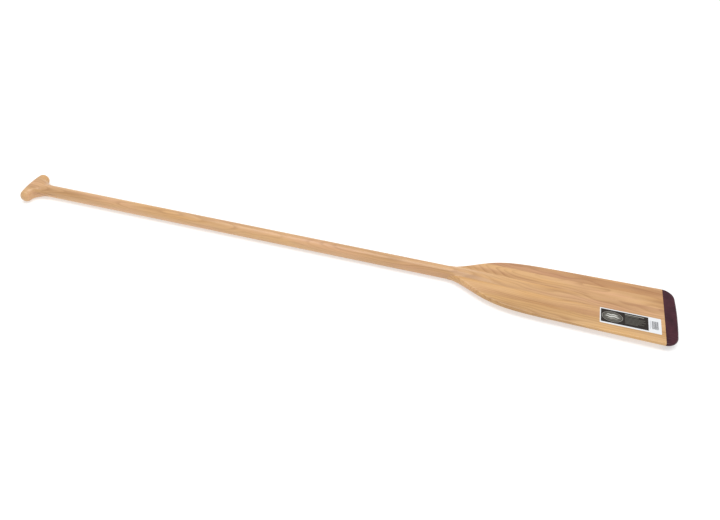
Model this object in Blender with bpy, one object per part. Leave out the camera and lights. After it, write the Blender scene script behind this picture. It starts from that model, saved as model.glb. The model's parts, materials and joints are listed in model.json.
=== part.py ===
"""A laminated wooden paddle with a T grip, a round shaft, one blade and a moulded tip guard.

Shapes are worked out in paddle coordinates: s runs along the paddle from the grip's crown to the
blade's tip, y runs across it, and z is the height above the shaft's centre line. An empty at the
grip end carries every piece and lifts the centre line to the height at which the shaft and the
grip lie on the ground, so in the world +X points at the tip, +Z up, and the origin is under the
middle of the paddle.
"""
import math

import bmesh
import bpy
from mathutils import Vector

# Driving dimensions, in metres
LENGTH = 1.524
GLUE_GAP = 0.0003

SHAFT_RADIUS = 0.0145
SHAFT_SIDES = 24

GRIP_EDGE_RADIUS = 0.012
GRIP_BAR_REACH = 0.0335
GRIP_BAR_END_RADIUS = 0.013
GRIP_CROWN_SLOPE = math.radians(10.0)
GRIP_NECK_START = 0.030
GRIP_NECK_HANDLES = (0.0220, 0.0450)
GRIP_LENGTH = 0.092
GRIP_TAPER_START = 0.028
GRIP_TAPER_RUN = 0.0185
GRIP_TAPER = 0.12
RIDGE_START = 0.012
RIDGE_FULL = 0.055

BLADE_START = 1.062
BLADE_FLAT_START = 1.290
BLADE_HALF_WIDTH = 0.0705
BLADE_WIDENING = 0.0185
BLADE_WIDENING_START = 1.200
SHOULDER_LENGTH = 0.0785
SHOULDER_SHARPNESS = 1.76
BLADE_HALF_THICKNESS = 0.0046
BLADE_EDGE_HALF_THICKNESS = 0.0034
THROAT_HALF_THICKNESS = 0.0095
THROAT_EDGE_HALF_THICKNESS = 0.0060
FILLET = 0.005

PLANK_SPLIT = 0.0447

GUARD_START = 1.4985
GUARD_PROUD = 0.0003
TIP_CORNER_RADIUS = 0.0255
TIP_BULGE = 0.0035
TONGUE_END = 1.5137
TONGUE_HALF_THICKNESS = 0.0020
TONGUE_SIDE_INSET = 0.0090
TONGUE_CORNER_RADIUS = 0.0150

LABEL_START = 1.375
LABEL_LENGTH = 0.116
LABEL_NEAR_EDGE = -0.0145
LABEL_WIDTH = 0.0405
LABEL_THICKNESS = 0.0004

# Sizes that follow from them
FACET_ANGLE = math.pi / SHAFT_SIDES
SHAFT_CORNER = SHAFT_RADIUS / math.cos(FACET_ANGLE)
GLUE_FACE = SHAFT_RADIUS + GLUE_GAP
SHOULDER_END = GUARD_START - GLUE_GAP
CROWN_CURVE = math.tan(GRIP_CROWN_SLOPE) / 2.0 / (
    GRIP_BAR_REACH + GRIP_BAR_END_RADIUS * math.sin(GRIP_CROWN_SLOPE))


def clear_scene():
    for item in list(bpy.data.objects):
        bpy.data.objects.remove(item, do_unlink=True)


def smoothstep(start, end, value):
    """Ease from 0 at start to 1 at end."""
    t = min(max((value - start) / (end - start), 0.0), 1.0)
    return t * t * (3.0 - 2.0 * t)


def mix(a, b, t):
    return a + (b - a) * t


def fillet_max(a, b, width=FILLET):
    """The larger of two heights, with a smooth fillet where they meet."""
    overlap = max(width - abs(a - b), 0.0) / width
    return max(a, b) + width * overlap * overlap / 4.0


def rolled_edge(distance, radius):
    """Height factor of an edge rounded over radius: 0 on the outline, 1 from radius inwards."""
    t = min(max(distance / radius, 0.0), 1.0)
    return math.sqrt(t * (2.0 - t))


# Grip

def grip_crown(y):
    """Where the grip's crowned end starts at this y."""
    return CROWN_CURVE * y * y


def bezier(points, steps):
    """Points of a cubic Bezier curve, without its first one."""
    curve = []
    for i in range(1, steps + 1):
        t = i / steps
        u = 1.0 - t
        weights = (u * u * u, 3.0 * u * u * t, 3.0 * u * t * t, t * t * t)
        curve.append(sum((w * p for w, p in zip(weights, points)), Vector((0.0, 0.0))))
    return curve


def grip_outline():
    """One half of the T outline: along the crown, round the bar's end and down the neck."""
    bar_corner = GRIP_BAR_REACH + GRIP_BAR_END_RADIUS * math.sin(GRIP_CROWN_SLOPE)
    bar_centre = grip_crown(bar_corner) + GRIP_BAR_END_RADIUS * math.cos(GRIP_CROWN_SLOPE)
    points = []
    crown_steps = 8
    for i in range(crown_steps):
        y = bar_corner * i / crown_steps
        points.append(Vector((grip_crown(y), y)))
    arc_steps = 12
    for i in range(arc_steps + 1):
        angle = mix(GRIP_CROWN_SLOPE, math.pi, i / arc_steps)
        points.append(Vector((bar_centre - GRIP_BAR_END_RADIUS * math.cos(angle),
                              GRIP_BAR_REACH + GRIP_BAR_END_RADIUS * math.sin(angle))))
    bar_back = points[-1].x
    bar_handle, shaft_handle = GRIP_NECK_HANDLES
    neck = (points[-1], Vector((bar_back, bar_handle)), Vector((shaft_handle, SHAFT_RADIUS)),
            Vector((GRIP_LENGTH, SHAFT_RADIUS)))
    return points + bezier(neck, 14)


GRIP_OUTLINE = grip_outline()


def distance_to(outline, s, y):
    """Distance from a point to the nearest side of an outline that is drawn for y >= 0."""
    point = Vector((s, abs(y)))
    nearest = LENGTH
    for a, b in zip(outline, outline[1:]):
        along = b - a
        t = min(max((point - a).dot(along) / along.length_squared, 0.0), 1.0)
        nearest = min(nearest, (point - a - along * t).length)
    return nearest


def grip_height(s, y):
    """Half thickness of the palm bar and its neck."""
    end_taper = 1.0 - GRIP_TAPER * max(0.0, (abs(y) - GRIP_TAPER_START) / GRIP_TAPER_RUN) ** 2
    thickness = SHAFT_RADIUS * end_taper * (1.0 - smoothstep(GRIP_NECK_START, GRIP_LENGTH, s))
    return thickness * rolled_edge(distance_to(GRIP_OUTLINE, s, y), GRIP_EDGE_RADIUS)


# Blade

def blade_half_width(s):
    """Half of the outline: the shaft, the shoulder's S curve, and the slightly flaring sides."""
    run = max(s - BLADE_START, 0.0)
    shoulder = 1.0 - math.exp(-(run / SHOULDER_LENGTH) ** SHOULDER_SHARPNESS)
    flare = BLADE_WIDENING * max(s - BLADE_WIDENING_START, 0.0)
    return SHAFT_RADIUS + (BLADE_HALF_WIDTH - SHAFT_RADIUS) * shoulder + flare


def blade_height(s, y, half_width):
    """Half thickness of the blade's slab, with its crown and its rounded edge."""
    throat = 1.0 - smoothstep(BLADE_START, BLADE_FLAT_START, s)
    edge = mix(BLADE_EDGE_HALF_THICKNESS, THROAT_EDGE_HALF_THICKNESS, throat)
    middle = mix(BLADE_HALF_THICKNESS, THROAT_HALF_THICKNESS, throat)
    slope = max(abs(y) - SHAFT_RADIUS, 0.0) / (half_width - SHAFT_RADIUS + edge)
    return mix(middle, edge, slope * slope) * rolled_edge(half_width - abs(y), edge)


def ridge_height(s, y):
    """Half thickness of the round shaft, which fades into the bar and into the blade."""
    into_bar = smoothstep(RIDGE_START, RIDGE_FULL, s)
    into_blade = 1.0 - smoothstep(BLADE_START, BLADE_FLAT_START, s)
    circle = math.sqrt(max(SHAFT_CORNER * SHAFT_CORNER - y * y, 0.0))
    return circle * into_bar * into_blade


def half_thickness(s, y):
    """Half thickness of the whole wooden body at (s, y)."""
    ridge = ridge_height(s, y)
    if s < GRIP_LENGTH:
        return min(fillet_max(ridge, grip_height(s, y)), SHAFT_RADIUS)
    if s > BLADE_START:
        return fillet_max(ridge, blade_height(s, y, blade_half_width(s)))
    return ridge


def tongue_half_width(s, clearance=0.0):
    """Half width of the tongue that the tip guard covers."""
    side = blade_half_width(SHOULDER_END) - TONGUE_SIDE_INSET + clearance
    into_corner = max(s - (TONGUE_END + clearance - TONGUE_CORNER_RADIUS), 0.0)
    reach = max(TONGUE_CORNER_RADIUS ** 2 - into_corner ** 2, 0.0)
    return side - TONGUE_CORNER_RADIUS + math.sqrt(reach)


# Tip guard

GUARD_HALF_WIDTH = blade_half_width(GUARD_START) + GUARD_PROUD
TIP_CORNER_Y = GUARD_HALF_WIDTH - TIP_CORNER_RADIUS
TIP_CORNER_S = LENGTH - TIP_BULGE * (TIP_CORNER_Y / GUARD_HALF_WIDTH) ** 2 - TIP_CORNER_RADIUS
BORDER_ANGLE = math.acos(max(GUARD_START - TIP_CORNER_S, 0.0) / TIP_CORNER_RADIUS)


def guard_end(y):
    """Where the guard ends at this y: a slightly bowed end between two round corners."""
    bowed = LENGTH - TIP_BULGE * (min(abs(y), TIP_CORNER_Y) / GUARD_HALF_WIDTH) ** 2
    into_corner = max(abs(y) - TIP_CORNER_Y, 0.0)
    reach = max(TIP_CORNER_RADIUS ** 2 - into_corner ** 2, 0.0)
    return bowed - TIP_CORNER_RADIUS + math.sqrt(reach)


def guard_stations():
    """Half of the y positions at which the guard is drawn, from the middle to its border's end."""
    bow = [TIP_CORNER_Y * i / 5 for i in range(5)]
    turns = [BORDER_ANGLE * i / 10 for i in range(11)]
    return bow + [TIP_CORNER_Y + TIP_CORNER_RADIUS * math.sin(turn) for turn in turns]


def guard_outline():
    """One half of the guard's outline, from the middle of its end to past its border."""
    points = [Vector((guard_end(y), y)) for y in guard_stations()]
    return points + [Vector((GUARD_START - TIP_CORNER_RADIUS, GUARD_HALF_WIDTH))]


GUARD_OUTLINE = guard_outline()


def guard_height(s, y):
    """Half thickness of the guard."""
    slope = max(abs(y) - SHAFT_RADIUS, 0.0) / (GUARD_HALF_WIDTH - SHAFT_RADIUS)
    middle = BLADE_HALF_THICKNESS + GUARD_PROUD
    edge = BLADE_EDGE_HALF_THICKNESS + GUARD_PROUD
    return mix(middle, edge, slope * slope) * rolled_edge(distance_to(GUARD_OUTLINE, s, y), edge)


# Meshes

def new_mesh(name, rings):
    """A solid through equal rings of points, capped at both ends where the ring isn't a point."""
    mesh = bpy.data.meshes.new(name)
    bm = bmesh.new()
    rows = [[bm.verts.new(point) for point in ring] for ring in rings]
    count = len(rows[0])
    for row, following in zip(rows, rows[1:]):
        for i in range(count):
            j = (i + 1) % count
            bm.faces.new((row[i], row[j], following[j], following[i]))
    bm.faces.new(rows[0])
    bm.faces.new(rows[-1])
    bmesh.ops.remove_doubles(bm, verts=bm.verts, dist=1e-6)
    bmesh.ops.triangulate(bm, faces=[face for face in bm.faces if len(face.verts) > 4])
    bmesh.ops.recalc_face_normals(bm, faces=bm.faces)
    bm.to_mesh(mesh)
    bm.free()
    mesh.shade_smooth()
    mesh.set_sharp_from_angle(angle=math.radians(35.0))
    return mesh


def slab_ring(columns):
    """A closed ring over the top from the first column to the last, and back underneath."""
    return list(columns) + [(s, y, -z) for s, y, z in reversed(columns)]


def add_piece(name, mesh, material, parent):
    piece = bpy.data.objects.new(name, mesh)
    piece.parent = parent
    mesh.materials.append(material)
    bpy.context.scene.collection.objects.link(piece)
    return piece


def new_material(name, colour, roughness):
    material = bpy.data.materials.new(name)
    material.use_nodes = True
    shader = material.node_tree.nodes["Principled BSDF"]
    shader.inputs["Base Color"].default_value = (*colour, 1.0)
    shader.inputs["Roughness"].default_value = roughness
    shader.inputs["Metallic"].default_value = 0.0
    return material


# Pieces

THROAT_STATIONS = [BLADE_START + 0.012 * i for i in range(21)]
BLADE_STATIONS = [1.340, 1.380, 1.420, 1.460, SHOULDER_END]


def centre_stave(material, parent):
    """Palm core, round shaft and blade spine in one straight stave, with flat glue faces."""
    columns = [SHAFT_CORNER * math.cos(FACET_ANGLE * (2 * k + 1)) for k in range(SHAFT_SIDES // 2)]
    roll = [GRIP_EDGE_RADIUS * (1.0 - math.cos(math.radians(18.0 * i))) for i in range(6)]
    neck = [0.016, 0.022, 0.029, 0.036, 0.043, 0.050, 0.058, 0.067, 0.078, GRIP_LENGTH]
    rings = []
    for station in roll + neck:
        crown_share = max(1.0 - station / GRIP_NECK_START, 0.0)
        ring = []
        for y in columns:
            s = station + grip_crown(y) * crown_share
            ring.append((s, y, half_thickness(s, y) if station > 0.0 else 0.0))
        rings.append(slab_ring(ring))
    for s in THROAT_STATIONS + BLADE_STATIONS:
        rings.append(slab_ring([(s, y, half_thickness(s, y)) for y in columns]))
    for s in (SHOULDER_END, TONGUE_END):
        rings.append(slab_ring([(s, y, TONGUE_HALF_THICKNESS) for y in columns]))
    return add_piece("centre_stave", new_mesh("centre_stave", rings), material, parent)


def feather_start(inner):
    """Where the blade's outline has just passed this distance from the centre line."""
    s = BLADE_START
    while blade_half_width(s) < inner + 0.0002:
        s += 0.0005
    return s


def blade_plank(name, side, inner, outer, shares, material, parent):
    """One blade plank between two distances from the centre line, or out to the blade's edge."""
    start = feather_start(inner)
    early = [start + 0.002, start + 0.006]
    stations = [start] + early + [s for s in THROAT_STATIONS if s > early[-1] + 0.002]
    rings = []
    for s in stations + BLADE_STATIONS:
        reach = min(blade_half_width(s), outer)
        across = [mix(inner, reach, share) for share in shares]
        rings.append(slab_ring([(s, side * y, half_thickness(s, y)) for y in across]))
    tongue_steps = 6
    for i in range(tongue_steps + 1):
        s = mix(SHOULDER_END, TONGUE_END, i / tongue_steps)
        reach = min(tongue_half_width(s), outer)
        across = [mix(inner, reach, share) for share in shares]
        rings.append(slab_ring([(s, side * y, TONGUE_HALF_THICKNESS) for y in across]))
    return add_piece(name, new_mesh(name, rings), material, parent)


def outline_crossings(y):
    """Where the grip's outline crosses this y: on its crown side and on its neck side."""
    crossings = []
    for a, b in zip(GRIP_OUTLINE, GRIP_OUTLINE[1:]):
        if min(a.y, b.y) <= y <= max(a.y, b.y) and a.y != b.y:
            crossings.append(mix(a.x, b.x, (y - a.y) / (b.y - a.y)))
    return min(crossings), max(crossings)


def grip_cheek(name, side, material, parent):
    """The block on one side of the stave, from its glue face to the rounded end of the bar."""
    bar_end = max(point.y for point in GRIP_OUTLINE)
    across_steps = 18
    along_steps = 14
    rings = []
    for i in range(across_steps + 1):
        share = i / across_steps
        y = mix(GLUE_FACE, bar_end, share * (1.0 + 0.6 * (1.0 - share)))
        front, back = outline_crossings(y)
        ring = []
        for j in range(along_steps + 1):
            s = mix(front, back, (1.0 - math.cos(math.pi * j / along_steps)) / 2.0)
            on_outline = j in (0, along_steps) or i == across_steps
            ring.append((s, side * y, 0.0 if on_outline else half_thickness(s, y)))
        rings.append(slab_ring(ring))
    return add_piece(name, new_mesh(name, rings), material, parent)


def tip_guard(material, parent):
    """A moulded cap round the blade's tip, with a slot that takes the tongue."""
    shares = [0.0, 0.30, 0.60, 0.80, 0.92, 0.98, 1.0]
    half = guard_stations()
    rings = []
    for y in [-y for y in reversed(half)] + half[1:]:
        ring = []
        for share in shares:
            s = mix(GUARD_START, guard_end(y), share)
            on_outline = share == 1.0 or abs(y) == half[-1]
            ring.append((s, y, 0.0 if on_outline else guard_height(s, y)))
        rings.append(slab_ring(ring))
    guard = add_piece("tip_guard", new_mesh("tip_guard", rings), material, parent)
    slot = guard.modifiers.new("tongue_slot", "BOOLEAN")
    slot.operation = "DIFFERENCE"
    slot.solver = "EXACT"
    slot.object = slot_cutter(parent)
    return guard


def slot_cutter(parent):
    """The tongue with its clearance, run out through the guard's border."""
    half_height = TONGUE_HALF_THICKNESS + GLUE_GAP
    stations = [GUARD_START - 0.005]
    stations += [mix(GUARD_START, TONGUE_END + GLUE_GAP, i / 8) for i in range(9)]
    rings = []
    for s in stations:
        reach = tongue_half_width(s, GLUE_GAP)
        rings.append(slab_ring([(s, reach, half_height), (s, -reach, half_height)]))
    cutter = bpy.data.objects.new("tongue_slot_cutter", new_mesh("tongue_slot_cutter", rings))
    cutter.parent = parent
    cutter.hide_render = True
    cutter.display_type = "WIRE"
    bpy.context.scene.collection.objects.link(cutter)
    return cutter


def product_label(material, parent):
    """A thin sticker that follows the blade's labelled face."""
    along_steps = 4
    across_steps = 6
    rings = []
    for i in range(along_steps + 1):
        s = LABEL_START + LABEL_LENGTH * i / along_steps
        lower = []
        upper = []
        for j in range(across_steps + 1):
            y = LABEL_NEAR_EDGE - LABEL_WIDTH * j / across_steps
            base = half_thickness(s, y) + GLUE_GAP
            lower.append((s, y, base))
            upper.append((s, y, base + LABEL_THICKNESS))
        rings.append(upper + lower[::-1])
    return add_piece("product_label", new_mesh("product_label", rings), material, parent)


def main():
    clear_scene()
    axis = bpy.data.objects.new("paddle_axis", None)
    axis.location = (-LENGTH / 2.0, 0.0, SHAFT_RADIUS)
    bpy.context.scene.collection.objects.link(axis)

    stave_wood = new_material("varnished_stave_wood", (0.66, 0.40, 0.19), 0.32)
    plank_wood = new_material("varnished_plank_wood", (0.62, 0.36, 0.17), 0.32)
    golden_wood = new_material("varnished_golden_wood", (0.68, 0.43, 0.20), 0.32)
    guard_plastic = new_material("burgundy_guard", (0.061, 0.017, 0.024), 0.22)
    label_print = new_material("printed_label", (0.045, 0.045, 0.040), 0.40)

    centre_stave(stave_wood, axis)
    inner_shares = [0.0, 0.30, 0.58, 0.80, 0.93, 0.985, 1.0]
    outer_shares = [0.0, 0.30, 0.58, 0.78, 0.90, 0.96, 0.99, 1.0]
    for side, hand in ((1, "left"), (-1, "right")):
        blade_plank("blade_plank_" + hand + "_inner", side, GLUE_FACE, PLANK_SPLIT,
                    inner_shares, plank_wood, axis)
        blade_plank("blade_plank_" + hand + "_outer", side, PLANK_SPLIT + GLUE_GAP, LENGTH,
                    outer_shares, golden_wood, axis)
        grip_cheek("grip_cheek_" + hand, side, stave_wood, axis)
    tip_guard(guard_plastic, axis)
    product_label(label_print, axis)


main()
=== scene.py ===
"""The finished look of a laminated wooden paddle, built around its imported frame.

The wooden pieces, the tip guard and the label are rebuilt as fine meshes in the places that the
frame gives, in the frame's own metres: +X points from the grip to the blade's tip and +Z out of
the labelled face. Shapes are worked out in paddle coordinates, where s is the distance from the
grip's end, y runs across the paddle and z is the height above the shaft's centre line.
"""

import json
import math

import bmesh
import bpy
import numpy as np
from mathutils import Euler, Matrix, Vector

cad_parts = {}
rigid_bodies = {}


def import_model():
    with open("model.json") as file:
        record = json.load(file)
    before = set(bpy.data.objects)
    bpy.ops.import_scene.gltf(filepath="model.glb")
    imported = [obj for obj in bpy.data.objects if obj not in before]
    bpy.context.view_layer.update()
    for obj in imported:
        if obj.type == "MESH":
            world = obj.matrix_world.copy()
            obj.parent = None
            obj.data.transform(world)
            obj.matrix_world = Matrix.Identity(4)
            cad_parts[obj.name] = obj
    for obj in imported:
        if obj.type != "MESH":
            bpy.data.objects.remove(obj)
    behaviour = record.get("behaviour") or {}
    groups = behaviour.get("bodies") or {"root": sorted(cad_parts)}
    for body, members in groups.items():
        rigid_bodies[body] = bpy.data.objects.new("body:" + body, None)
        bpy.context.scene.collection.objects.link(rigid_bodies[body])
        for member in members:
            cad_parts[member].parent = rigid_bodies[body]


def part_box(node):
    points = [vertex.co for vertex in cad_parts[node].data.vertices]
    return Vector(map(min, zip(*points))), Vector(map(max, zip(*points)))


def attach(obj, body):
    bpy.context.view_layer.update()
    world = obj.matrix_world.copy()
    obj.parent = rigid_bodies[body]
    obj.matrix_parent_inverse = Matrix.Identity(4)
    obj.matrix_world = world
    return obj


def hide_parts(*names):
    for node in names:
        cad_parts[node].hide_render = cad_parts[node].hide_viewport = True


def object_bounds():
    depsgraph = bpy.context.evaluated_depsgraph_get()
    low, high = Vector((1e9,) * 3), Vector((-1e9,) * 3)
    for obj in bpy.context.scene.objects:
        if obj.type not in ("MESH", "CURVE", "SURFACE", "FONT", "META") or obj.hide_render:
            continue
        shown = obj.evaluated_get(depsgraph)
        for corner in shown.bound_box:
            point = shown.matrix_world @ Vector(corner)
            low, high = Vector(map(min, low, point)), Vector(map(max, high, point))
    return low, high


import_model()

MM = 0.001

# Sizes read from the frame
CAD_LOW, CAD_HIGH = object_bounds()
STAVE_LOW, STAVE_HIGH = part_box("centre_stave")
INNER_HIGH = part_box("blade_plank_left_inner")[1]
GUARD_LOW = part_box("tip_guard")[0]
LABEL_LOW, LABEL_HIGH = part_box("product_label")
CHEEK_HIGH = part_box("grip_cheek_left")[1]

GRIP_END_X = -CAD_HIGH.x
LENGTH = CAD_HIGH.x - GRIP_END_X
AXIS_HEIGHT = (STAVE_LOW.z + STAVE_HIGH.z) / 2.0
SHAFT_RADIUS = (STAVE_HIGH.z - STAVE_LOW.z) / 2.0
GUARD_START = GUARD_LOW.x - GRIP_END_X
PLANK_SPLIT = INNER_HIGH.y
TONGUE_END = STAVE_HIGH.x - GRIP_END_X
LABEL_START = LABEL_LOW.x - GRIP_END_X

# Shape of the grip
GRIP_EDGE_RADIUS = 12.0 * MM
GRIP_BAR_END_RADIUS = 13.0 * MM
GRIP_BAR_REACH = CHEEK_HIGH.y - GRIP_BAR_END_RADIUS
GRIP_CROWN_SLOPE = math.radians(10.0)
GRIP_BAR_CORNER = GRIP_BAR_REACH + GRIP_BAR_END_RADIUS * math.sin(GRIP_CROWN_SLOPE)
CROWN_CURVE = math.tan(GRIP_CROWN_SLOPE) / 2.0 / GRIP_BAR_CORNER
CROWN_INSET = 0.02 * MM
GRIP_NECK_START = 30.0 * MM
NECK_HANDLE_Y = 22.0 * MM
NECK_HANDLE_S = 45.0 * MM
GRIP_LENGTH = 92.0 * MM
GRIP_TAPER_START = 28.0 * MM
GRIP_TAPER_RUN = 18.5 * MM
GRIP_TAPER = 0.12
RIDGE_START = 12.0 * MM
RIDGE_FULL = 55.0 * MM

# Shape of the blade
BLADE_START = LENGTH - 462.0 * MM
BLADE_FLAT_START = LENGTH - 234.0 * MM
BLADE_HALF_WIDTH = 70.5 * MM
BLADE_WIDENING = 0.0185
BLADE_WIDENING_START = LENGTH - 324.0 * MM
SHOULDER_LENGTH = 78.5 * MM
SHOULDER_SHARPNESS = 1.76
BLADE_HALF_THICKNESS = 4.6 * MM
BLADE_EDGE_HALF_THICKNESS = 3.4 * MM
THROAT_HALF_THICKNESS = 9.5 * MM
THROAT_EDGE_HALF_THICKNESS = 6.0 * MM
FILLET = 5.0 * MM

# Shape of the guard, its tongue and the slot round the tongue
GUARD_PROUD = 0.3 * MM
GUARD_LIP_RADIUS = 0.7 * MM
TIP_CORNER_RADIUS = 25.5 * MM
TIP_BULGE = 3.5 * MM
TONGUE_HALF_THICKNESS = 2.0 * MM
TONGUE_SIDE_INSET = 9.0 * MM
TONGUE_CORNER_RADIUS = 15.0 * MM
TONGUE_CLEARANCE = 0.2 * MM
SLOT_OVERRUN = 5.0 * MM

# The hairline left at a glue joint, on each side of it
GLUE_LINE = 0.02 * MM
WOOD_END = GUARD_START - GLUE_LINE

# Spacing of the wooden meshes' rows along the paddle, and where it changes
NECK_STEP = 2.0 * MM
SHAFT_STEP = 20.0 * MM
THROAT_STEP = 2.5 * MM
THROAT_ROWS_END = BLADE_FLAT_START + 12.0 * MM
BLADE_STEP = 8.0 * MM
BLADE_ROWS_END = GUARD_START - 5.0 * MM

# How meshes are closed and shaded
MERGE_DISTANCE = 1e-7
SHARP_ANGLE = math.radians(40.0)


def smoothstep(start, end, value):
    """Ease from 0 at start to 1 at end."""
    t = np.clip((value - start) / (end - start), 0.0, 1.0)
    return t * t * (3.0 - 2.0 * t)


def mix(a, b, t):
    return a + (b - a) * t


def fillet_max(a, b):
    """The larger of two heights, with a smooth fillet where they meet."""
    overlap = np.maximum(FILLET - np.abs(a - b), 0.0) / FILLET
    return np.maximum(a, b) + FILLET * overlap * overlap / 4.0


def rolled_edge(distance, radius):
    """Height factor of a rounded edge: 0 on the outline, 1 from radius inwards."""
    t = np.clip(distance / radius, 0.0, 1.0)
    return np.sqrt(t * (2.0 - t))


def distance_to(outline, s, y):
    """Distance from points to the nearest side of an outline that is drawn for y >= 0."""
    s, y = np.broadcast_arrays(s, np.abs(y))
    points = np.stack([s.ravel(), y.ravel()], axis=1)
    start = outline[:-1]
    along = outline[1:] - start
    offset = points[:, None, :] - start[None, :, :]
    share = (offset * along).sum(axis=2) / (along * along).sum(axis=1)
    share = np.clip(share, 0.0, 1.0)[:, :, None]
    nearest = np.linalg.norm(offset - along * share, axis=2).min(axis=1)
    return nearest.reshape(s.shape)


# Grip

def grip_crown(y):
    """Where the grip's crowned end starts at this y."""
    return CROWN_CURVE * y * y


def bezier(points, steps):
    """Points of a cubic Bezier curve, without its first one."""
    t = np.linspace(0.0, 1.0, steps + 1)[1:, None]
    weights = ((1 - t) ** 3, 3 * (1 - t) ** 2 * t, 3 * (1 - t) * t ** 2, t ** 3)
    return sum(weight * np.array(point) for weight, point in zip(weights, points))


def grip_outline():
    """One half of the T outline: along the crown, round the bar's end and down the neck."""
    bar_centre = grip_crown(GRIP_BAR_CORNER) + GRIP_BAR_END_RADIUS * math.cos(GRIP_CROWN_SLOPE)
    y = np.linspace(0.0, GRIP_BAR_CORNER, 24, endpoint=False)
    crown = np.stack([grip_crown(y), y], axis=1)
    angle = np.linspace(GRIP_CROWN_SLOPE, math.pi, 60)
    arc = np.stack([bar_centre - GRIP_BAR_END_RADIUS * np.cos(angle),
                    GRIP_BAR_REACH + GRIP_BAR_END_RADIUS * np.sin(angle)], axis=1)
    bar_back = arc[-1]
    neck = (bar_back, (bar_back[0], NECK_HANDLE_Y),
            (NECK_HANDLE_S, SHAFT_RADIUS), (GRIP_LENGTH, SHAFT_RADIUS))
    return np.concatenate([crown, arc, bezier(neck, 60)])


GRIP_OUTLINE = grip_outline()


def grip_height(s, y):
    """Half thickness of the palm bar and its neck."""
    past_taper = np.maximum(np.abs(y) - GRIP_TAPER_START, 0.0) / GRIP_TAPER_RUN
    end_taper = 1.0 - GRIP_TAPER * past_taper ** 2
    thickness = SHAFT_RADIUS * end_taper * (1.0 - smoothstep(GRIP_NECK_START, GRIP_LENGTH, s))
    return thickness * rolled_edge(distance_to(GRIP_OUTLINE, s, y), GRIP_EDGE_RADIUS)


# Blade

def blade_half_width(s):
    """Half of the outline: the shaft, the shoulder's S curve, and the slightly flaring sides."""
    run = np.maximum(s - BLADE_START, 0.0)
    shoulder = 1.0 - np.exp(-(run / SHOULDER_LENGTH) ** SHOULDER_SHARPNESS)
    flare = BLADE_WIDENING * np.maximum(s - BLADE_WIDENING_START, 0.0)
    return SHAFT_RADIUS + (BLADE_HALF_WIDTH - SHAFT_RADIUS) * shoulder + flare


def blade_height(s, y):
    """Half thickness of the blade's slab, with its crown and its rounded edge."""
    half_width = blade_half_width(s)
    throat = 1.0 - smoothstep(BLADE_START, BLADE_FLAT_START, s)
    edge = mix(BLADE_EDGE_HALF_THICKNESS, THROAT_EDGE_HALF_THICKNESS, throat)
    middle = mix(BLADE_HALF_THICKNESS, THROAT_HALF_THICKNESS, throat)
    slope = np.maximum(np.abs(y) - SHAFT_RADIUS, 0.0) / (half_width - SHAFT_RADIUS + edge)
    return mix(middle, edge, slope * slope) * rolled_edge(half_width - np.abs(y), edge)


def ridge_height(s, y):
    """Half thickness of the round shaft, which fades into the bar and into the blade."""
    into_bar = smoothstep(RIDGE_START, RIDGE_FULL, s)
    into_blade = 1.0 - smoothstep(BLADE_START, BLADE_FLAT_START, s)
    circle = np.sqrt(np.maximum(SHAFT_RADIUS ** 2 - y * y, 0.0))
    return circle * into_bar * into_blade


def half_thickness(s, y):
    """Half thickness of the whole wooden body at (s, y)."""
    s, y = np.broadcast_arrays(np.asarray(s, float), np.asarray(y, float))
    height = ridge_height(s, y)
    grip = s < GRIP_LENGTH
    if grip.any():
        palm = fillet_max(height[grip], grip_height(s[grip], y[grip]))
        height[grip] = np.minimum(palm, SHAFT_RADIUS)
    blade = s > BLADE_START
    if blade.any():
        height[blade] = fillet_max(height[blade], blade_height(s[blade], y[blade]))
    return height


def tongue_half_width(s, clearance=0.0):
    """Half width of the tongue that the tip guard covers."""
    side = blade_half_width(GUARD_START) - TONGUE_SIDE_INSET + clearance
    into_corner = np.maximum(s - (TONGUE_END + clearance - TONGUE_CORNER_RADIUS), 0.0)
    reach = np.maximum(TONGUE_CORNER_RADIUS ** 2 - into_corner ** 2, 0.0)
    return side - TONGUE_CORNER_RADIUS + np.sqrt(reach)


# Meshes

def place(points):
    """From paddle coordinates to the frame's own."""
    return np.asarray(points, float) + (GRIP_END_X, 0.0, AXIS_HEIGHT)


def finish_mesh(bm, name):
    """Merge what coincides, point the faces outwards and shade the round surfaces smooth."""
    bmesh.ops.remove_doubles(bm, verts=bm.verts, dist=MERGE_DISTANCE)
    bmesh.ops.dissolve_degenerate(bm, dist=MERGE_DISTANCE / 10.0, edges=bm.edges)
    bmesh.ops.recalc_face_normals(bm, faces=bm.faces)
    mesh = bpy.data.meshes.new(name)
    bm.to_mesh(mesh)
    bm.free()
    mesh.shade_smooth()
    mesh.set_sharp_from_angle(angle=SHARP_ANGLE)
    return mesh


def height_grid(s, y, height):
    """Points (s, y, height) in rows by columns, from arrays that broadcast to one shape."""
    s, y, height = np.broadcast_arrays(s, y, height)
    return np.stack([s, y, height], axis=2)


def slab_mesh(name, top):
    """A closed solid between a grid of points, rows by columns, and its mirror image below."""
    rows, columns = top.shape[:2]
    bm = bmesh.new()
    upper = [[bm.verts.new(p) for p in row] for row in place(top)]
    lower = [[bm.verts.new(p) for p in row] for row in place(top * (1.0, 1.0, -1.0))]
    for i in range(rows - 1):
        for j in range(columns - 1):
            bm.faces.new((upper[i][j], upper[i][j + 1], upper[i + 1][j + 1], upper[i + 1][j]))
            bm.faces.new((lower[i][j], lower[i + 1][j], lower[i + 1][j + 1], lower[i][j + 1]))
        for j in (0, columns - 1):
            bm.faces.new((upper[i][j], upper[i + 1][j], lower[i + 1][j], lower[i][j]))
    for i in (0, rows - 1):
        for j in range(columns - 1):
            bm.faces.new((upper[i][j], upper[i][j + 1], lower[i][j + 1], lower[i][j]))
    return finish_mesh(bm, name)


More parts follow.
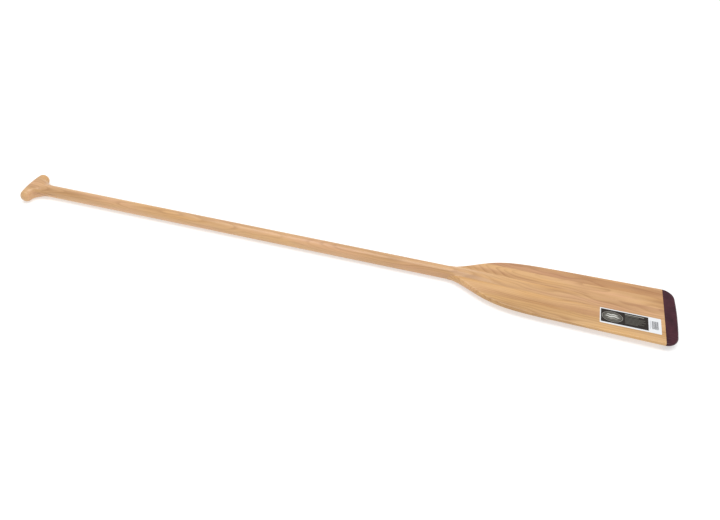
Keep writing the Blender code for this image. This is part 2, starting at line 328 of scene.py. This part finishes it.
def add_piece(name, mesh, material, node=None):
    """Put a mesh in the scene as a piece, in place of a CAD node if one is named."""
    piece = bpy.data.objects.new(name, mesh)
    bpy.context.scene.collection.objects.link(piece)
    mesh.materials.append(material)
    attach(piece, "root")
    if node:
        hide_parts(node)
    return piece


def bake_modifiers(piece):
    """Replace a piece's mesh with what its modifiers make of it."""
    bpy.context.view_layer.update()
    evaluated = piece.evaluated_get(bpy.context.evaluated_depsgraph_get())
    mesh = bpy.data.meshes.new_from_object(evaluated)
    piece.modifiers.clear()
    piece.data = mesh


# Wooden pieces

def blade_stations(start):
    """Rows of the blade: closely spaced to just past the throat, then wider up to the guard."""
    throat = np.arange(start, THROAT_ROWS_END, THROAT_STEP)
    blade = np.arange(throat[-1] + BLADE_STEP, BLADE_ROWS_END, BLADE_STEP)
    return np.concatenate([throat, blade, [WOOD_END]])


def centre_stave(material):
    """Palm core, round shaft and blade spine in one straight stave."""
    y = (SHAFT_RADIUS - GLUE_LINE) * np.cos(np.linspace(0.0, math.pi, 49))
    roll = GRIP_EDGE_RADIUS * (1.0 - np.cos(np.radians(np.arange(0.0, 90.0, 5.0))))
    neck = np.arange(GRIP_EDGE_RADIUS, GRIP_LENGTH, NECK_STEP)
    palm = np.concatenate([roll, neck])
    crown_share = np.maximum(1.0 - palm / GRIP_NECK_START, 0.0)[:, None]
    palm_s = palm[:, None] + grip_crown(y) * crown_share + CROWN_INSET
    palm_height = half_thickness(palm_s, y)
    palm_height[0] = 0.0
    shaft = np.arange(GRIP_LENGTH, BLADE_START, SHAFT_STEP)
    rest = np.concatenate([shaft, blade_stations(BLADE_START)])[:, None]
    tongue = np.array([WOOD_END, TONGUE_END])[:, None]
    top = np.concatenate([height_grid(palm_s, y, palm_height),
                          height_grid(rest, y, half_thickness(rest, y)),
                          height_grid(tongue, y, TONGUE_HALF_THICKNESS)])
    return add_piece("stave", slab_mesh("stave", top), material, "centre_stave")


def feather_start(inner):
    """Where the blade's outline has just passed this distance from the centre line."""
    s = np.linspace(BLADE_START, BLADE_FLAT_START, 20000)
    point_width = 0.05 * MM
    return s[np.argmax(blade_half_width(s) > inner + point_width)]


def blade_plank(name, side, inner, outer, material, node):
    """One blade plank between two distances from the centre line, or out to the blade's edge.

    Its rows close up towards the thin point at which the plank starts.
    """
    start = feather_start(inner)
    point = start + np.array([0.0, 0.2, 0.5, 1.0, 1.7, 2.6, 3.8]) * MM
    s = np.concatenate([point, blade_stations(start + 5.5 * MM)])[:, None]
    shares = np.sin(np.linspace(0.0, math.pi / 2.0, 29))
    y = mix(inner, np.minimum(blade_half_width(s), outer), shares)
    body = height_grid(s, side * y, half_thickness(s, y))
    tongue_s = np.linspace(WOOD_END, TONGUE_END, 12)[:, None]
    tongue_y = mix(inner, np.minimum(tongue_half_width(tongue_s), outer), shares)
    tongue = height_grid(tongue_s, side * tongue_y, TONGUE_HALF_THICKNESS)
    mesh = slab_mesh(name, np.concatenate([body, tongue]))
    return add_piece(name, mesh, material, node)


def grip_cheek(name, side, material, node):
    """The block on one side of the stave, from its glue face to the rounded end of the bar.

    Its rows close up towards the bar's end, and its columns towards the outline.
    """
    peak = int(np.argmax(GRIP_OUTLINE[:, 1]))
    crown_side = GRIP_OUTLINE[:peak + 1]
    neck_side = GRIP_OUTLINE[peak:][::-1]
    share = np.linspace(0.0, 1.0, 49)
    share = share * (1.8 - 0.8 * share)
    y = mix(SHAFT_RADIUS + GLUE_LINE, GRIP_OUTLINE[peak, 1], share)
    front = np.interp(y, crown_side[:, 1], crown_side[:, 0])[:, None]
    back = np.interp(y, neck_side[:, 1], neck_side[:, 0])[:, None]
    along = (1.0 - np.cos(np.linspace(0.0, math.pi, 49))) / 2.0
    s = mix(front, back, along)
    height = half_thickness(s, y[:, None])
    height[:, [0, -1]] = 0.0
    height[-1] = 0.0
    mesh = slab_mesh(name, height_grid(s, side * y[:, None], height))
    return add_piece(name, mesh, material, node)


# Tip guard

GUARD_HALF_WIDTH = blade_half_width(GUARD_START) + GUARD_PROUD
TIP_CORNER_Y = GUARD_HALF_WIDTH - TIP_CORNER_RADIUS
TIP_CORNER_S = LENGTH - TIP_BULGE * (TIP_CORNER_Y / GUARD_HALF_WIDTH) ** 2 - TIP_CORNER_RADIUS
BORDER_ANGLE = math.acos(max(GUARD_START - TIP_CORNER_S, 0.0) / TIP_CORNER_RADIUS)


def guard_end(y):
    """Where the guard ends at this y: a slightly bowed end between two round corners."""
    bowed = LENGTH - TIP_BULGE * (np.minimum(np.abs(y), TIP_CORNER_Y) / GUARD_HALF_WIDTH) ** 2
    into_corner = np.maximum(np.abs(y) - TIP_CORNER_Y, 0.0)
    reach = np.maximum(TIP_CORNER_RADIUS ** 2 - into_corner ** 2, 0.0)
    return bowed - TIP_CORNER_RADIUS + np.sqrt(reach)


def guard_stations():
    """Half of the y positions at which the guard is drawn, from the middle to its border's end."""
    bow = np.linspace(0.0, TIP_CORNER_Y, 14, endpoint=False)
    corner = TIP_CORNER_Y + TIP_CORNER_RADIUS * np.sin(np.linspace(0.0, BORDER_ANGLE, 31))
    return np.concatenate([bow, corner])


def guard_mesh():
    """The cap without its slot: a lip proud of the wood, a crowned face and a rounded rim.

    The lip takes at most a quarter of the cap's length, which is short at its corners.
    """
    half = guard_stations()
    y = np.concatenate([-half[::-1], half[1:]])[:, None]
    side_line = [[GUARD_START - TIP_CORNER_RADIUS, GUARD_HALF_WIDTH]]
    outline = np.concatenate([np.stack([guard_end(half), half], axis=1), side_line])
    span = np.maximum(guard_end(y) - GUARD_START, 0.0)
    lip = np.array([0.0, 0.04, 0.12, 0.25, 0.45, 0.7, 1.0, 1.5]) * MM
    lip = lip * np.minimum(span / (4.0 * lip[-1]), 1.0)
    nose = np.sin(np.linspace(0.0, math.pi / 2.0, 22))[1:]
    s = GUARD_START + np.concatenate([lip, mix(lip[:, -1:], span, nose)], axis=1)
    proud = GUARD_PROUD * rolled_edge(s - GUARD_START, GUARD_LIP_RADIUS)
    middle = BLADE_HALF_THICKNESS + proud
    edge = BLADE_EDGE_HALF_THICKNESS + proud
    slope = np.maximum(np.abs(y) - SHAFT_RADIUS, 0.0) / (GUARD_HALF_WIDTH - SHAFT_RADIUS)
    height = mix(middle, edge, slope * slope) * rolled_edge(distance_to(outline, s, y), edge)
    height[:, -1] = 0.0
    height[[0, -1]] = 0.0
    return slab_mesh("guard", height_grid(s, y, height))


def tip_guard(material):
    """A moulded cap round the blade's tip, with a slot that takes the tongue."""
    guard = add_piece("guard", guard_mesh(), material, "tip_guard")
    slot_end = TONGUE_END + TONGUE_CLEARANCE
    s = np.concatenate([[GUARD_START - SLOT_OVERRUN], np.linspace(GUARD_START, slot_end, 16)])
    s = s[:, None]
    y = tongue_half_width(s, TONGUE_CLEARANCE) * (-1.0, 1.0)
    grid = height_grid(s, y, TONGUE_HALF_THICKNESS + TONGUE_CLEARANCE)
    cutter = bpy.data.objects.new("slot_cutter", slab_mesh("slot_cutter", grid))
    bpy.context.scene.collection.objects.link(cutter)
    slot = guard.modifiers.new("slot", "BOOLEAN")
    slot.operation = "DIFFERENCE"
    slot.solver = "EXACT"
    slot.object = cutter
    bake_modifiers(guard)
    bpy.data.objects.remove(cutter)
    guard.data.shade_smooth()
    guard.data.set_sharp_from_angle(angle=SHARP_ANGLE)
    return guard


# Materials

class Nodes:
    """Short ways to add and link nodes in one material."""

    def __init__(self, name):
        self.material = bpy.data.materials.new(name)
        self.material.use_nodes = True
        self.tree = self.material.node_tree
        self.shader = self.tree.nodes["Principled BSDF"]

    def put(self, socket, value):
        """Link another node's output to a socket, or set the socket's constant."""
        if isinstance(value, bpy.types.NodeSocket):
            self.tree.links.new(value, socket)
        else:
            socket.default_value = value

    def add(self, kind, inputs=None, **settings):
        node = self.tree.nodes.new(kind)
        for key, value in settings.items():
            setattr(node, key, value)
        for key, value in (inputs or {}).items():
            self.put(node.inputs[key], value)
        return node

    def surface(self, inputs):
        """Put the shader's inputs, and give the finished material."""
        for key, value in inputs.items():
            self.put(self.shader.inputs[key], value)
        return self.material

    def place(self):
        return self.add("ShaderNodeTexCoord").outputs["Object"]

    def stretch(self, vector, scale=(1.0, 1.0, 1.0), shift=(0.0, 0.0, 0.0), turn=(0.0, 0.0, 0.0)):
        node = self.add("ShaderNodeMapping", {
            "Vector": vector, "Location": shift, "Rotation": turn, "Scale": scale})
        return node.outputs["Vector"]

    def noise(self, vector, scale, detail=2.0, roughness=0.5, distortion=0.0, output="Fac"):
        node = self.add("ShaderNodeTexNoise", {
            "Vector": vector, "Scale": scale, "Detail": detail,
            "Roughness": roughness, "Distortion": distortion})
        return node.outputs[output]

    def math(self, operation, a, b=0.0, clamp=False):
        node = self.add("ShaderNodeMath", {0: a, 1: b}, operation=operation, use_clamp=clamp)
        return node.outputs[0]

    def vector_math(self, operation, a, b=(0.0, 0.0, 0.0)):
        node = self.add("ShaderNodeVectorMath", {0: a, 1: b}, operation=operation)
        return node.outputs["Value" if operation == "LENGTH" else "Vector"]

    def remap(self, value, low, high, to_low, to_high):
        node = self.add("ShaderNodeMapRange", {
            "Value": value, "From Min": low, "From Max": high,
            "To Min": to_low, "To Max": to_high})
        return node.outputs["Result"]

    def ramp(self, factor, stops):
        node = self.add("ShaderNodeValToRGB", {"Fac": factor})
        elements = node.color_ramp.elements
        while len(elements) < len(stops):
            elements.new(0.5)
        for element, (position, colour) in zip(elements, stops):
            element.position = position
            element.color = (*colour, 1.0)
        return node.outputs["Color"]

    def blend(self, factor, a, b, mode="MIX"):
        """Blend two colours, which are the node's inputs 6 and 7 and its output 2."""
        node = self.add("ShaderNodeMix", {"Factor": factor, 6: a, 7: b},
                        data_type="RGBA", blend_type=mode)
        return node.outputs[2]

    def bump(self, height, strength, distance):
        node = self.add("ShaderNodeBump", {
            "Strength": strength, "Distance": distance, "Height": height})
        return node.outputs["Normal"]


RING_SPACING = 3.2 * MM
RING_SWAY = 0.034
RING_CROWDING = 2.2
LATE_WOOD = ((0.0, 0.25), (0.12, 0.0), (0.55, 0.22), (0.86, 0.95), (0.95, 1.0), (1.0, 0.25))
GOLDEN_TINT = (1.04, 1.0, 0.88)
NO_TINT = (1.0, 1.0, 1.0)
ROSY_TINT = (1.0, 0.955, 1.06)
PORE_SHADE = (0.55, 0.5, 0.45)


def growth_rings(n, at, log, figure):
    """Late wood of the rings round the log's X axis: 1 in a ring's dark line, 0 between lines."""
    slow = n.noise(n.stretch(at, (1.0, 3.0, 3.0)), 4.5, 2.0, 0.45, output="Color")
    sway = n.vector_math("SUBTRACT", slow, (0.5, 0.5, 0.5))
    sway = n.vector_math("MULTIPLY", sway, (0.0, RING_SWAY * figure, RING_SWAY * figure))
    across = n.vector_math("MULTIPLY", n.vector_math("ADD", log, sway), (0.0, 1.0, 1.0))
    rings = n.math("MULTIPLY", n.vector_math("LENGTH", across), 1.0 / RING_SPACING)
    crowding = n.noise(n.stretch(at, (0.6, 8.0, 8.0)), 3.0, 1.0)
    rings = n.math("ADD", rings, n.math("MULTIPLY", crowding, RING_CROWDING))
    late = n.ramp(n.math("FRACT", rings), [(share, (tone,) * 3) for share, tone in LATE_WOOD])
    ring_tone = n.add("ShaderNodeTexWhiteNoise", {"W": n.math("FLOOR", rings)},
                      noise_dimensions="1D").outputs["Value"]
    return n.math("MULTIPLY", late, n.remap(ring_tone, 0.0, 1.0, 0.45, 1.0))


def wood_colour(n, at, late, fibre, light, dark):
    """Colour of the wood: rings, streaks, fibres and mottling, then its warmth and its pores."""
    along_grain = n.stretch(at, (1.0, 14.0, 14.0), turn=(0.0, 0.0, math.radians(-4.0)))
    streak = n.noise(along_grain, 2.4, 3.0, 0.55, 0.4)
    mottle = n.noise(n.stretch(at, (1.0, 2.2, 2.2)), 9.0, 3.0, 0.5)
    depth = n.math("MULTIPLY", late, 0.46)
    depth = n.math("ADD", depth, n.remap(streak, 0.36, 0.66, -0.16, 0.48))
    depth = n.math("ADD", depth, n.remap(fibre, 0.3, 0.7, -0.10, 0.10))
    depth = n.math("ADD", depth, n.remap(mottle, 0.3, 0.7, -0.06, 0.10), clamp=True)
    middle = tuple(mix(a, b, 0.52) for a, b in zip(light, dark))
    colour = n.ramp(depth, [(0.0, light), (0.5, middle), (1.0, dark)])
    warmth = n.noise(n.stretch(at, (1.0, 9.0, 9.0), shift=(0.7, 0.2, 0.4)), 5.0, 3.0, 0.55)
    tint = n.ramp(warmth, [(0.32, GOLDEN_TINT), (0.5, NO_TINT), (0.68, ROSY_TINT)])
    colour = n.blend(1.0, colour, tint, "MULTIPLY")
    pores = n.noise(n.stretch(at, (1.0, 26.0, 26.0)), 120.0, 1.0, 0.4)
    pore_colour = tuple(tone * shade for tone, shade in zip(dark, PORE_SHADE))
    return n.blend(n.remap(pores, 0.66, 0.74, 0.0, 0.16), colour, (*pore_colour, 1.0))


def varnished_wood(name, light, dark, pith, tilt, shift, figure=1.0):
    """Clear-varnished softwood: growth rings round a pith line, fibres, streaks and mottling.

    pith is the (y, z) place of the pith line in millimetres, tilt its angles to the plank in
    degrees, shift moves the random patterns, and figure scales how wavy the grain is.
    """
    n = Nodes(name)
    at = n.stretch(n.place(), shift=shift)
    log = n.stretch(n.place(), shift=(0.0, -pith[0] * MM, -pith[1] * MM),
                    turn=(0.0, math.radians(tilt[0]), math.radians(tilt[1])))
    late = growth_rings(n, at, log, figure)
    fibre = n.noise(n.stretch(at, (1.0, 55.0, 55.0)), 26.0, 4.0, 0.6)
    relief = n.math("ADD", n.math("MULTIPLY", late, 0.5), n.math("MULTIPLY", fibre, 0.6))
    flow = n.noise(at, 180.0, 2.0, 0.5)
    film = n.math("ADD", flow, n.math("MULTIPLY", fibre, 0.35))
    return n.surface({
        "Base Color": wood_colour(n, at, late, fibre, light, dark),
        "Roughness": n.remap(fibre, 0.25, 0.75, 0.36, 0.50),
        "IOR": 1.48,
        "Specular IOR Level": 0.4,
        "Normal": n.bump(relief, 0.35, 0.06 * MM),
        "Coat Weight": 0.3,
        "Coat Roughness": 0.14,
        "Coat Normal": n.bump(film, 0.18, 0.08 * MM),
    })


def moulded_guard(name):
    """Dark burgundy moulding with a faint flow mottling, fine scuffs and an even gloss."""
    n = Nodes(name)
    at = n.place()
    mottle = n.noise(n.stretch(at, (1.0, 0.6, 1.0)), 60.0, 3.0, 0.55)
    colour = n.ramp(mottle, [(0.3, (0.030, 0.004, 0.010)), (0.7, (0.066, 0.012, 0.022))])
    scuff = n.noise(n.stretch(at, (40.0, 600.0, 40.0), turn=(0.0, 0.0, 0.5)), 1.0, 2.0, 0.6)
    scuffed = n.remap(scuff, 0.60, 0.72, 0.0, 0.16)
    peel = n.noise(at, 420.0, 2.0, 0.5)
    return n.surface({
        "Base Color": n.blend(scuffed, colour, (0.20, 0.11, 0.13, 1.0)),
        "Roughness": n.remap(mottle, 0.3, 0.7, 0.16, 0.26),
        "IOR": 1.5,
        "Specular IOR Level": 0.35,
        "Normal": n.bump(peel, 0.20, 0.08 * MM),
    })


def printed(name, colour, spread, roughness):
    """Ink or coated paper: a fine uneven laydown over a faint paper texture."""
    n = Nodes(name)
    at = n.place()
    grain = n.noise(at, 900.0, 3.0, 0.6)
    cloud = n.noise(at, 60.0, 2.0, 0.5)
    tone = n.math("ADD", n.math("MULTIPLY", grain, 0.6), n.math("MULTIPLY", cloud, 0.4))
    low = tuple(max(c - spread, 0.0) for c in colour)
    high = tuple(min(c + spread, 1.0) for c in colour)
    return n.surface({
        "Base Color": n.ramp(tone, [(0.3, low), (0.7, high)]),
        "Roughness": n.remap(grain, 0.3, 0.7, roughness - 0.05, roughness + 0.05),
        "Specular IOR Level": 0.3,
        "Normal": n.bump(grain, 0.1, 0.02 * MM),
        "Coat Weight": 0.1,
        "Coat Roughness": 0.2,
    })


# Label, drawn in millimetres from its corner nearest the grip and the blade's edge

LABEL_LENGTH = (LABEL_HIGH.x - LABEL_LOW.x) / MM
LABEL_WIDTH = (LABEL_HIGH.y - LABEL_LOW.y) / MM
SHEET_CORNER = 1.2
FOLD_SPACING = 2.5
PANEL = (2.0, 3.6, 92.0, LABEL_WIDTH - 2.4)
OVAL_CENTRE = (24.0, LABEL_WIDTH / 2.0 + 0.4)
OVAL_STEPS = 56
WAVE_STEPS = 36
TEXT_START = 48.0
PARAGRAPH_TOP = 25.4
LINE_SPACING = 3.1
NOTE_CORNERS = ((94.6, 9.0), (96.3, 13.0))
NOTE_WIDTH = 0.8
BARCODE_START = 98.8
BARCODE_BARS = 11
BAR_LOW = 10.0
BAR_HIGH = 31.0
BAR_WIDTHS = (0.35, 1.05, 0.35, 0.7)
BAR_GAPS = (0.35, 0.7, 0.45)

# The label's layers, in metres
PAPER_LIFT = 0.03 * MM
PAPER_THICKNESS = 0.10 * MM
INK_THICKNESS = 0.02 * MM


def rectangle(left, low, right, high, corner=0.0):
    """A rectangle's outline, with corners of this radius if one is given."""
    if not corner:
        return [(left, low), (right, low), (right, high), (left, high)]
    points = []
    centres = ((right - corner, low + corner, -90), (right - corner, high - corner, 0),
               (left + corner, high - corner, 90), (left + corner, low + corner, 180))
    for x, y, start in centres:
        for step in range(7):
            angle = math.radians(start + 15 * step)
            points.append((x + corner * math.cos(angle), y + corner * math.sin(angle)))
    return points


def oval(x, y, half_length, half_height):
    """An ellipse's outline round a centre."""
    angles = [2.0 * math.pi * i / OVAL_STEPS for i in range(OVAL_STEPS)]
    return [(x + half_length * math.cos(a), y + half_height * math.sin(a)) for a in angles]


def wave_band(x, y, length, amplitude, thickness):
    """A wavy ribbon, drawn along its upper side and back along its lower side."""
    upper = []
    lower = []
    for i in range(WAVE_STEPS + 1):
        share = i / WAVE_STEPS
        half = thickness * 0.5 * math.sin(math.pi * share) ** 0.5 + 0.02
        middle = y + amplitude * math.sin(4.0 * math.pi * share)
        along = x + length * (share - 0.5)
        upper.append((along, middle + half))
        lower.append((along, middle - half))
    return upper + lower[::-1]


def print_layer(name, outline, lift, thickness, material, node=None):
    """A thin shape on the blade: a flat outline, folded so that it follows the curved face."""
    bm = bmesh.new()
    bm.faces.new([bm.verts.new((along, across, 0.0)) for along, across in outline])
    for across in np.arange(FOLD_SPACING, LABEL_WIDTH, FOLD_SPACING):
        shape = list(bm.verts) + list(bm.edges) + list(bm.faces)
        bmesh.ops.bisect_plane(bm, geom=shape, dist=MERGE_DISTANCE / MM,
                               plane_co=(0.0, across, 0.0), plane_no=(0.0, 1.0, 0.0))
    bmesh.ops.triangulate(bm, faces=bm.faces)
    lower_verts = list(bm.verts)
    lower_faces = list(bm.faces)
    border = [edge for edge in bm.edges if edge.is_boundary]
    top = {}
    for vert in lower_verts:
        s = LABEL_START + vert.co.x * MM
        y = LABEL_LOW.y + vert.co.y * MM
        base = AXIS_HEIGHT + half_thickness([s], [y])[0] + lift
        top[vert] = bm.verts.new((s + GRIP_END_X, y, base + thickness))
        vert.co = (s + GRIP_END_X, y, base)
    for face in lower_faces:
        bm.faces.new([top[vert] for vert in face.verts])
    for edge in border:
        a, b = edge.verts
        bm.faces.new((a, b, top[b], top[a]))
    return add_piece(name, finish_mesh(bm, name), material, node)


def ink_layer(name, outline, level, ink):
    """A layer of ink, which lies on the sheet at level 0 and on other inks above that."""
    lift = PAPER_LIFT + PAPER_THICKNESS + INK_THICKNESS * level
    print_layer(name, outline, lift, INK_THICKNESS, ink)


def label_inks():
    """The sheet's coated paper and the inks, by name: colour, unevenness and roughness."""
    looks = {
        "coated_paper": ((0.75, 0.765, 0.785), 0.02, 0.38),
        "dark_panel_ink": ((0.015, 0.010, 0.007), 0.004, 0.34),
        "pale_ink": ((0.62, 0.62, 0.58), 0.03, 0.36),
        "grey_ink": ((0.105, 0.10, 0.085), 0.015, 0.36),
        "faint_ink": ((0.42, 0.43, 0.47), 0.02, 0.38),
        "title_ink": ((0.30, 0.29, 0.26), 0.02, 0.36),
        "barcode_ink": ((0.035, 0.035, 0.045), 0.005, 0.40),
    }
    return {name: printed(name, *look) for name, look in looks.items()}


def oval_device(inks):
    """A rimmed oval with three plain waves in it."""
    x, y = OVAL_CENTRE
    fields = (("rim", 20.0, 13.4, "title_ink"), ("field", 19.0, 12.5, "dark_panel_ink"),
              ("inner", 17.6, 11.2, "grey_ink"))
    for level, (part, half_length, half_height, ink) in enumerate(fields, start=1):
        ink_layer("label_oval_" + part, oval(x, y, half_length, half_height), level, inks[ink])
    waves = (("upper", 5.0, 22.0, 0.8, 2.6, "pale_ink"), ("middle", 0.0, 28.0, 0.9, 3.0, "pale_ink"),
             ("lower", -5.0, 22.0, 0.8, 2.0, "title_ink"))
    for part, above, length, amplitude, thickness, ink in waves:
        band = wave_band(x, y + above, length, amplitude, thickness)
        ink_layer("label_wave_" + part, band, len(fields) + 1, inks[ink])


def text_lines(inks):
    """Plain strokes in place of the print: a title, a subtitle and a paragraph."""
    lines = [(36.0, 33.0, 2.0, "title_ink"), (26.0, 29.2, 1.8, "grey_ink")]
    for i, length in enumerate((38.0, 35.0, 39.0, 31.0, 36.0, 24.0)):
        lines.append((length, PARAGRAPH_TOP - LINE_SPACING * i, 1.3, "grey_ink"))
    for i, (length, low, height, ink) in enumerate(lines, start=1):
        stroke = rectangle(TEXT_START, low, TEXT_START + length, low + height)
        ink_layer("label_line_%d" % i, stroke, 1, inks[ink])


def barcode(inks):
    """Two faint notes beside the panel and a row of bars that encode nothing."""
    for i, (left, low) in enumerate(NOTE_CORNERS, start=1):
        note = rectangle(left, low, left + NOTE_WIDTH, BAR_HIGH)
        ink_layer("label_note_%d" % i, note, 0, inks["faint_ink"])
    left = BARCODE_START
    for i in range(BARCODE_BARS):
        right = left + BAR_WIDTHS[i % len(BAR_WIDTHS)]
        bar = rectangle(left, BAR_LOW, right, BAR_HIGH)
        ink_layer("label_bar_%02d" % (i + 1), bar, 0, inks["barcode_ink"])
        left = right + BAR_GAPS[i % len(BAR_GAPS)]


def product_label():
    """A paper sticker with a dark panel, its print, and a bar code on the bare end."""
    inks = label_inks()
    sheet = rectangle(0.0, 0.0, LABEL_LENGTH, LABEL_WIDTH, SHEET_CORNER)
    print_layer("label_sheet", sheet, PAPER_LIFT, PAPER_THICKNESS, inks["coated_paper"],
                "product_label")
    ink_layer("label_panel", rectangle(*PANEL), 0, inks["dark_panel_ink"])
    oval_device(inks)
    text_lines(inks)
    barcode(inks)


# Stage

FLOOR_HALF_SIZE = 60.0
FLOOR_DROP = 0.2 * MM
WORLD_AT_HORIZON = 0.89
WORLD_OVERHEAD = 0.58
WORLD_FADE_END = math.sin(math.radians(30.0))


def stage_floor():
    """A white sweep that glows a little, so that it stays white round the paddle's shadow."""
    n = Nodes("floor_paper")
    tone = n.noise(n.place(), 3.0, 2.0, 0.5)
    n.surface({
        "Base Color": n.ramp(tone, [(0.3, (0.60, 0.60, 0.60)), (0.7, (0.61, 0.61, 0.61))]),
        "Emission Color": (1.0, 1.0, 1.0, 1.0),
        "Emission Strength": 0.50,
        "Roughness": 0.9,
        "Specular IOR Level": 0.1,
    })
    mesh = bpy.data.meshes.new("floor")
    corners = [(x * FLOOR_HALF_SIZE, y * FLOOR_HALF_SIZE, CAD_LOW.z - FLOOR_DROP)
               for x, y in ((-1, -1), (1, -1), (1, 1), (-1, 1))]
    mesh.from_pydata(corners, [], [(0, 1, 2, 3)])
    floor = bpy.data.objects.new("floor", mesh)
    bpy.context.scene.collection.objects.link(floor)
    mesh.materials.append(n.material)


def soft_light(name, place_at, target, size, power):
    """A rectangular area light that faces a target."""
    light = bpy.data.lights.new(name, "AREA")
    light.shape = "RECTANGLE"
    light.size, light.size_y = size
    light.energy = power
    lamp = bpy.data.objects.new(name, light)
    lamp.location = place_at
    direction = Vector(target) - Vector(place_at)
    lamp.rotation_euler = direction.to_track_quat("-Z", "Y").to_euler()
    bpy.context.scene.collection.objects.link(lamp)


def studio():
    """A white room, brightest low down where it meets the floor, and one large light overhead."""
    world = bpy.data.worlds.new("studio")
    world.use_nodes = True
    nodes = world.node_tree.nodes
    links = world.node_tree.links
    background = nodes["Background"]
    background.inputs["Color"].default_value = (1.0, 1.0, 1.0, 1.0)
    direction = nodes.new("ShaderNodeTexCoord")
    height = nodes.new("ShaderNodeSeparateXYZ")
    fall = nodes.new("ShaderNodeMapRange")
    fall.interpolation_type = "SMOOTHSTEP"
    fall.inputs["From Min"].default_value = 0.0
    fall.inputs["From Max"].default_value = WORLD_FADE_END
    fall.inputs["To Min"].default_value = WORLD_AT_HORIZON
    fall.inputs["To Max"].default_value = WORLD_OVERHEAD
    links.new(direction.outputs["Generated"], height.inputs["Vector"])
    links.new(height.outputs["Z"], fall.inputs["Value"])
    links.new(fall.outputs["Result"], background.inputs["Strength"])
    bpy.context.scene.world = world
    soft_light("overhead_softbox", (0.1, 0.3, 3.2), (0.1, 0.3, 0.0), (4.0, 2.0), 80.0)
    bpy.context.scene.view_settings.view_transform = "Standard"


def camera():
    """A view from above the paddle's right side, with the blade nearest."""
    lens = bpy.data.cameras.new("camera")
    lens.lens = 30.2
    lens.sensor_width = 36.0
    viewpoint = bpy.data.objects.new("camera", lens)
    viewpoint.location = (0.3815, -0.9332, 0.9323)
    viewpoint.rotation_euler = Euler((math.radians(46.16), 0.0, math.radians(16.62)))
    bpy.context.scene.collection.objects.link(viewpoint)
    bpy.context.scene.camera = viewpoint


# The paddle

STAVE_WOOD = {"light": (0.66, 0.40, 0.192), "dark": (0.37, 0.185, 0.073),
              "pith": (30.0, -62.0), "tilt": (0.3, 0.4), "shift": (0.0, 0.0, 0.0)}
PLANK_WOODS = {
    "left_inner": {"light": (0.645, 0.385, 0.178), "dark": (0.35, 0.165, 0.062), "figure": 1.3,
                   "pith": (70.0, -34.0), "tilt": (1.2, 4.0), "shift": (0.37, 0.11, 0.05)},
    "left_outer": {"light": (0.60, 0.345, 0.167), "dark": (0.34, 0.155, 0.063), "figure": 1.2,
                   "pith": (96.0, -40.0), "tilt": (-0.9, 3.0), "shift": (0.81, 0.23, 0.17)},
    "right_inner": {"light": (0.655, 0.392, 0.178), "dark": (0.35, 0.165, 0.060), "figure": 1.2,
                    "pith": (-8.0, -42.0), "tilt": (1.0, -3.4), "shift": (0.19, 0.47, 0.29)},
    "right_outer": {"light": (0.630, 0.385, 0.172), "dark": (0.33, 0.160, 0.056), "figure": 0.9,
                    "pith": (-40.0, -55.0), "tilt": (0.4, -1.0), "shift": (0.53, 0.61, 0.41)},
}
GRIP_TONES = {"light": (0.65, 0.395, 0.188), "dark": (0.37, 0.183, 0.071)}
PLANK_SPANS = {
    "inner": (SHAFT_RADIUS + GLUE_LINE, PLANK_SPLIT - GLUE_LINE),
    "outer": (PLANK_SPLIT + GLUE_LINE, LENGTH),
}


def wooden_side(hand, side):
    """The two blade planks and the grip block on one side of the stave."""
    for part, (inner, outer) in PLANK_SPANS.items():
        plank = hand + "_" + part
        wood = varnished_wood(plank + "_wood", **PLANK_WOODS[plank])
        blade_plank("plank_" + plank, side, inner, outer, wood,
                    "blade_plank_" + plank)
    wood = varnished_wood("grip_%s_wood" % hand, pith=(side * 84.0, -46.0),
                          tilt=(1.0, side * 2.0), shift=(side * 0.29, 0.7, 0.9), **GRIP_TONES)
    grip_cheek("grip_" + hand, side, wood, "grip_cheek_" + hand)


def clear_defaults():
    """Remove any camera, light or cube that a new file starts with."""
    for item in list(bpy.data.objects):
        if item.type in {"CAMERA", "LIGHT"} or item.name == "Cube":
            bpy.data.objects.remove(item)


clear_defaults()
camera()
studio()
stage_floor()
centre_stave(varnished_wood("stave_wood", **STAVE_WOOD))
wooden_side("left", 1)
wooden_side("right", -1)
tip_guard(moulded_guard("burgundy_moulding"))
product_label()
